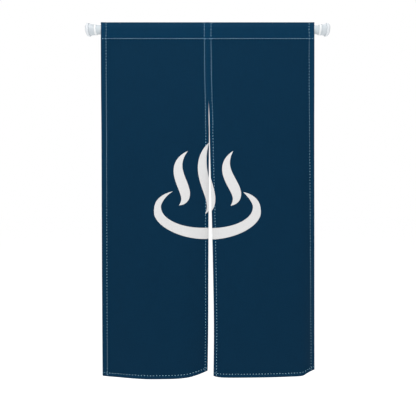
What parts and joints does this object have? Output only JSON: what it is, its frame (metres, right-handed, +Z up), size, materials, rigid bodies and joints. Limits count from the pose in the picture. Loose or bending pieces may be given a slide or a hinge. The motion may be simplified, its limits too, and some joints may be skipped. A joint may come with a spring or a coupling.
{
  "type": "noren curtain on tension rod",
  "caption": "Split doorway curtain of plain cloth panels with a rod pocket, hanging on a tension rod with round end pads.",
  "frame": {"origin": "on the rod's axis, half-way between the flat faces of its two end pads", "axes": "+Z up, from the hem to the rod; +X along the rod to the curtain's right; the printed front faces -Y"},
  "size_m": [0.9836, 0.0641, 1.4236],
  "materials": {
    "cloth": "plain-weave indigo cloth, printed in white",
    "rod": "white satin paint",
    "end_fitting": "glossy white moulding",
    "end_pad": "soft white moulding",
    "print": "white pigment printed on the weave",
    "thread": "light blue sewing thread"
  },
  "bodies": {
    "root": {"left_panel": "cloth", "right_panel": "cloth", "rod_outer_tube": "rod", "rod_inner_tube": "rod", "left_rod_collar": "end_fitting", "right_rod_collar": "end_fitting", "left_end_cap": "end_fitting", "right_end_cap": "end_fitting", "left_end_pad": "end_pad", "right_end_pad": "end_pad"}
  },
  "joints": []
}
